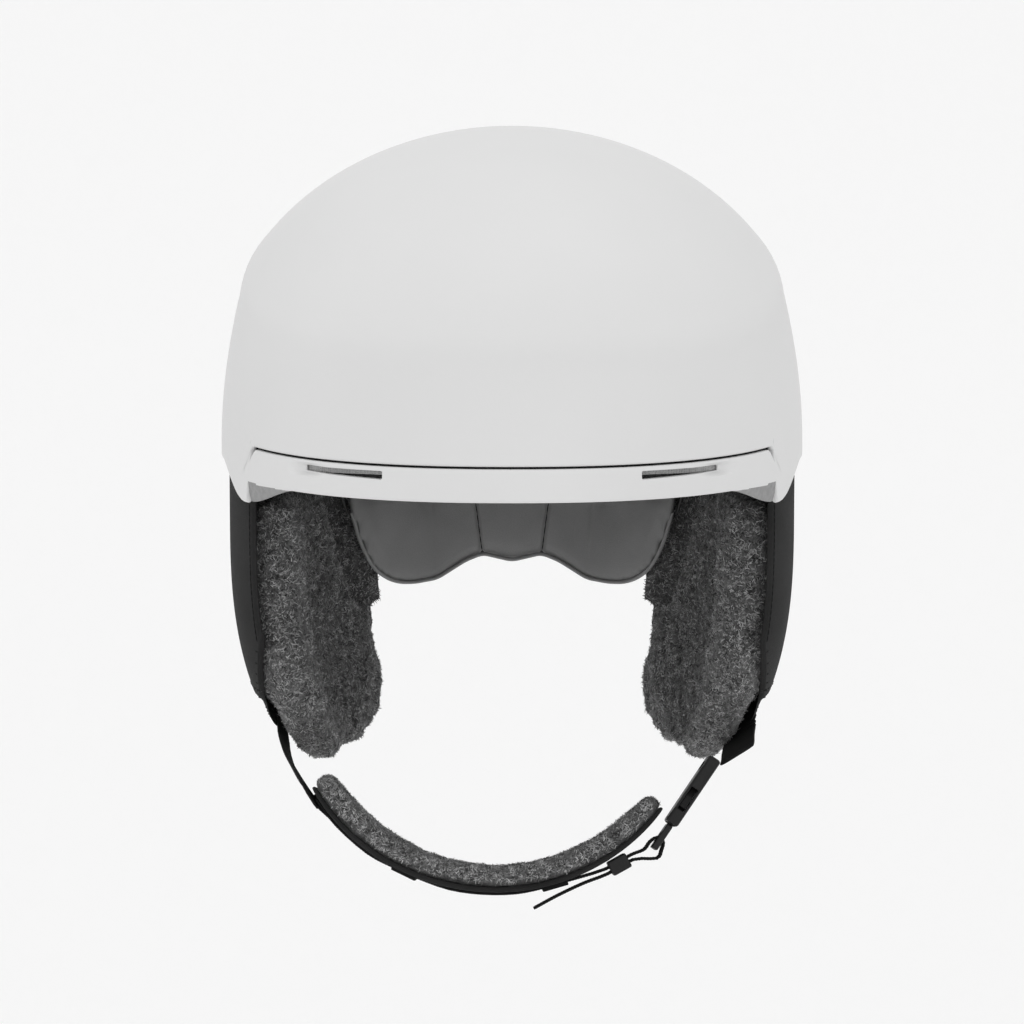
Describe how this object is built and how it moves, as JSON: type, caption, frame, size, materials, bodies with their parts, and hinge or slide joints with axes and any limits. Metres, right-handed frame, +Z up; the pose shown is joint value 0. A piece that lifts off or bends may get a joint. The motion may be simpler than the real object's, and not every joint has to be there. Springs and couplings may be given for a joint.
{
  "type": "ski helmet",
  "caption": "Skate-style ski helmet with a brow panel, fleece ear pads, a dial fit cradle, a goggle strap clip and a padded chin strap with a side-release buckle.",
  "frame": {"origin": "middle of the head opening, at the level of the brow panel's lower edge", "axes": "+Z up through the crown, -Y the way the wearer faces, +X towards the buckle side"},
  "size_m": [0.2216, 0.286, 0.2958],
  "materials": {
    "shell": "matte white moulded shell",
    "foam": "black expanded bead foam",
    "lining": "dark grey brushed knit over foam",
    "fleece": "charcoal pile fleece",
    "cover": "black woven fabric",
    "webbing": "black ribbed polyester webbing",
    "plastic": "black acetal, fine texture",
    "band": "dark grey nylon",
    "metal": "plated steel"
  },
  "bodies": {
    "root": {"brim_panel": "shell", "brow_pad": "lining", "buckle_socket": "plastic", "crown_pad": "lining", "ear_pad_cover_left": "cover", "ear_pad_cover_right": "cover", "ear_pad_fleece_left": "fleece", "ear_pad_fleece_right": "fleece", "ear_pad_stud_left_front": "plastic", "ear_pad_stud_left_rear": "plastic", "ear_pad_stud_right_front": "plastic", "ear_pad_stud_right_rear": "plastic", "fit_band_left": "band", "fit_band_right": "band", "foam_liner": "foam", "goggle_clip_base": "plastic", "goggle_clip_pin": "metal", "goggle_clip_stud": "metal", "height_rail": "plastic", "outer_shell": "shell", "side_pad_left": "lining", "side_pad_right": "lining", "side_strap_left": "webbing", "side_strap_right": "webbing", "strap_rivet_left": "metal", "strap_rivet_right": "metal", "temple_anchor_left": "plastic", "temple_anchor_right": "plastic"},
    "cradle": {"rear_cradle": "plastic", "cradle_pad": "lining", "cradle_stem": "plastic", "dial_screw": "metal", "dial_housing": "plastic"},
    "dial": {"dial_pinion": "plastic", "dial_knob": "plastic", "dial_shaft": "plastic"},
    "rack_left": {"rack_left": "band"},
    "rack_right": {"rack_right": "band"},
    "goggle_clip": {"goggle_clip": "plastic"},
    "chin": {"chin_pad_fleece": "fleece", "chin_pad_backing": "cover", "chin_webbing": "webbing", "strap_slider": "plastic", "keeper_loop_left": "webbing", "keeper_loop_right": "webbing", "buckle_plug": "plastic"},
    "prong_front": {"buckle_prong_front": "plastic"},
    "prong_rear": {"buckle_prong_rear": "plastic"}
  },
  "joints": [
    {"name": "cradle_height", "type": "slide", "parent": "root", "child": "cradle", "axis": [0, 0, 1], "range_m": [-0.004, 0.004], "deforming": ["fit_band_left", "fit_band_right"]},
    {"name": "dial_turn", "type": "hinge", "parent": "cradle", "child": "dial", "pos_m": [0, 0.105, -0.036], "axis": [0, 1, 0], "range_deg": [0, 114]},
    {"name": "rack_left_slide", "type": "slide", "parent": "cradle", "child": "rack_left", "axis": [1, 0, 0], "range_m": [0, 0.009]},
    {"name": "rack_right_slide", "type": "slide", "parent": "cradle", "child": "rack_right", "axis": [-1, 0, 0], "range_m": [0, 0.009]},
    {"name": "goggle_clip_hinge", "type": "hinge", "parent": "root", "child": "goggle_clip", "pos_m": [0, 0.1461, 0.035], "axis": [1, 0, 0], "range_deg": [0, 100]},
    {"name": "chin_strap_swing", "type": "hinge", "parent": "root", "child": "chin", "pos_m": [-0.105, -0.02592, -0.02112], "axis": [0, 0.9816, -0.1908], "range_deg": [0, 16], "deforming": ["side_strap_left"]},
    {"name": "prong_front_press", "type": "hinge", "parent": "chin", "child": "prong_front", "pos_m": [0.0596, -0.0541, -0.12943], "axis": [-0.8271, 0.1073, 0.5518], "range_deg": [0, 6], "stiffness_Nm_per_rad": 0.02},
    {"name": "prong_rear_press", "type": "hinge", "parent": "chin", "child": "prong_rear", "pos_m": [0.0596, -0.04036, -0.1321], "axis": [0.8271, -0.1073, -0.5518], "range_deg": [0, 6]}
  ],
  "couplings": [
    {"joint": "rack_left_slide", "follows": "dial_turn", "m_per_rad": 0.0045},
    {"joint": "rack_right_slide", "follows": "dial_turn", "m_per_rad": 0.0045},
    {"joint": "prong_rear_press", "follows": "prong_front_press", "ratio": 1}
  ]
}
